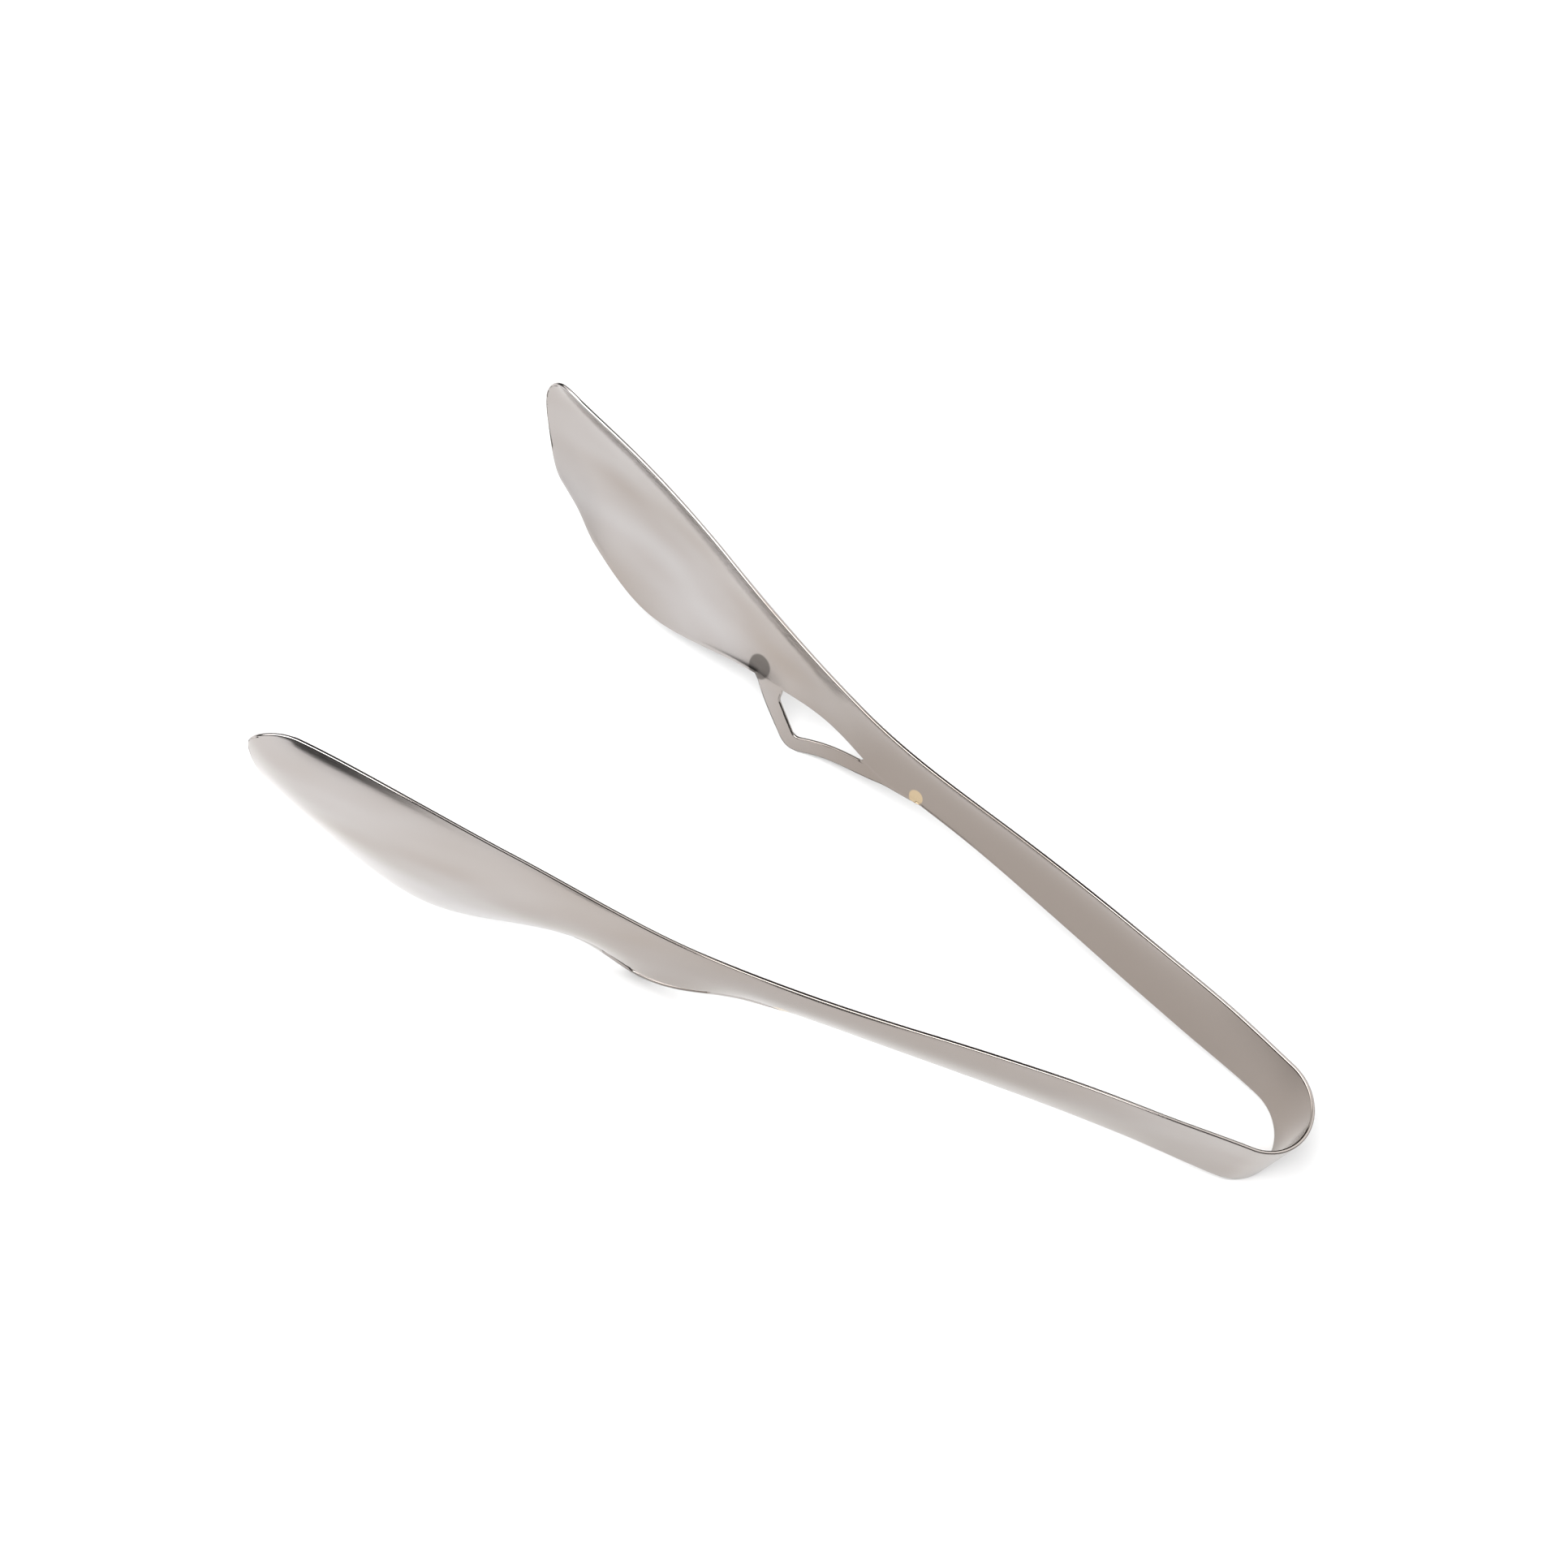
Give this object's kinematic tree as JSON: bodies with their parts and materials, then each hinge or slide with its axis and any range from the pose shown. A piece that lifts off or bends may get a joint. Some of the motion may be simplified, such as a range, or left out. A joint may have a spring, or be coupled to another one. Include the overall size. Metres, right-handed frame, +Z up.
{
  "type": "serving tongs",
  "caption": "One-piece stainless steel serving tongs: a spring bow, two handles with hollow leaf-shaped blades and folded feet that hold the blades off the table.",
  "frame": {"origin": "lowest point of the bow, on the table, on the plane between the two arms", "axes": "+X from the bow to the blade tips, +Y to the left arm, +Z up from the table"},
  "size_m": [0.2046, 0.102, 0.058],
  "materials": {
    "stainless_steel": "satin polish with fine brushing along the strip, brighter along the cut edges"
  },
  "bodies": {
    "bow": {"spring_bow": "stainless_steel"},
    "left_arm": {"left_handle": "stainless_steel", "left_blade": "stainless_steel", "left_rest_foot": "stainless_steel"},
    "right_arm": {"right_handle": "stainless_steel", "right_blade": "stainless_steel", "right_rest_foot": "stainless_steel"}
  },
  "joints": [
    {"name": "left_arm_squeeze", "type": "hinge", "parent": "bow", "child": "left_arm", "pos_m": [0.0013, 0.0059, 0.009], "axis": [0.1762, 0, -0.9843], "range_deg": [-2, 13.2], "stiffness_Nm_per_rad": 2.2},
    {"name": "right_arm_squeeze", "type": "hinge", "parent": "bow", "child": "right_arm", "pos_m": [0.0013, -0.0059, 0.009], "axis": [-0.1762, 0, 0.9843], "range_deg": [-2, 13.2], "stiffness_Nm_per_rad": 2.2}
  ],
  "couplings": [
    {"joint": "right_arm_squeeze", "follows": "left_arm_squeeze", "ratio": 1}
  ]
}
